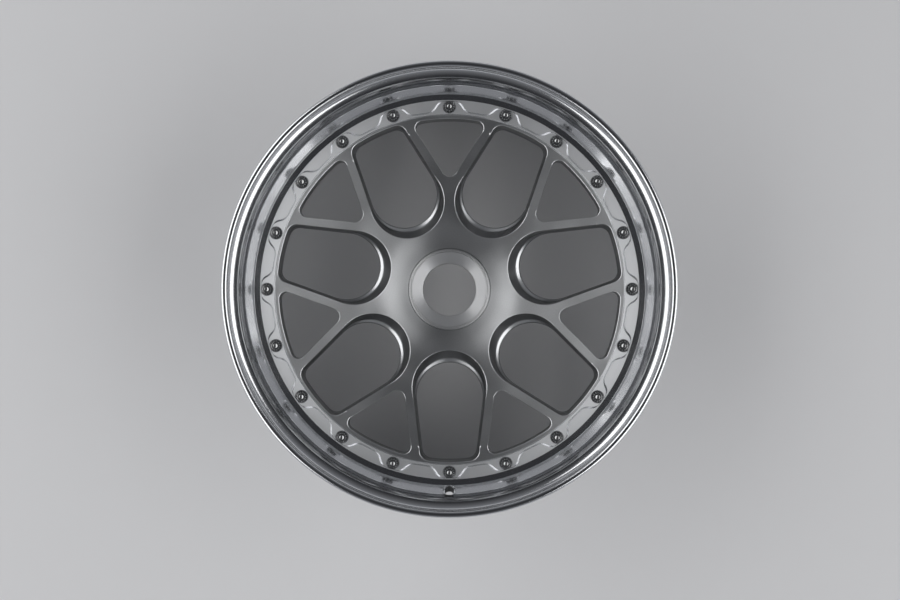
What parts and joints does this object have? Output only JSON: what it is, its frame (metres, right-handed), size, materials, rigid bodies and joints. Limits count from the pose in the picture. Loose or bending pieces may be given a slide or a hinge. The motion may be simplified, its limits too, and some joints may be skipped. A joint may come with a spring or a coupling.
{
  "type": "split rim wheel",
  "caption": "Car wheel with a mesh-spoked, centre-lock centre bolted between a stepped outer lip and an inner barrel.",
  "frame": {"origin": "centre of the inboard flange's outer face, which the wheel lies on", "axes": "+Z along the wheel axis, pointing outboard; the valve hole is on the -Y side"},
  "size_m": [0.5478, 0.5478, 0.2663],
  "materials": {
    "satin_centre": "satin silver coating, bare machined nut seat",
    "polished_lip": "mirror polished",
    "barrel": "turned, lightly polished",
    "bolt_steel": "bright plated",
    "nut_steel": "zinc plated",
    "seal_rubber": "matt black"
  },
  "bodies": {
    "root": {"wheel_centre": "satin_centre", "outer_rim_half": "polished_lip", "inner_rim_half": "barrel", "rim_bolts": "bolt_steel", "rim_nuts": "nut_steel", "rim_seal": "seal_rubber"}
  },
  "joints": []
}
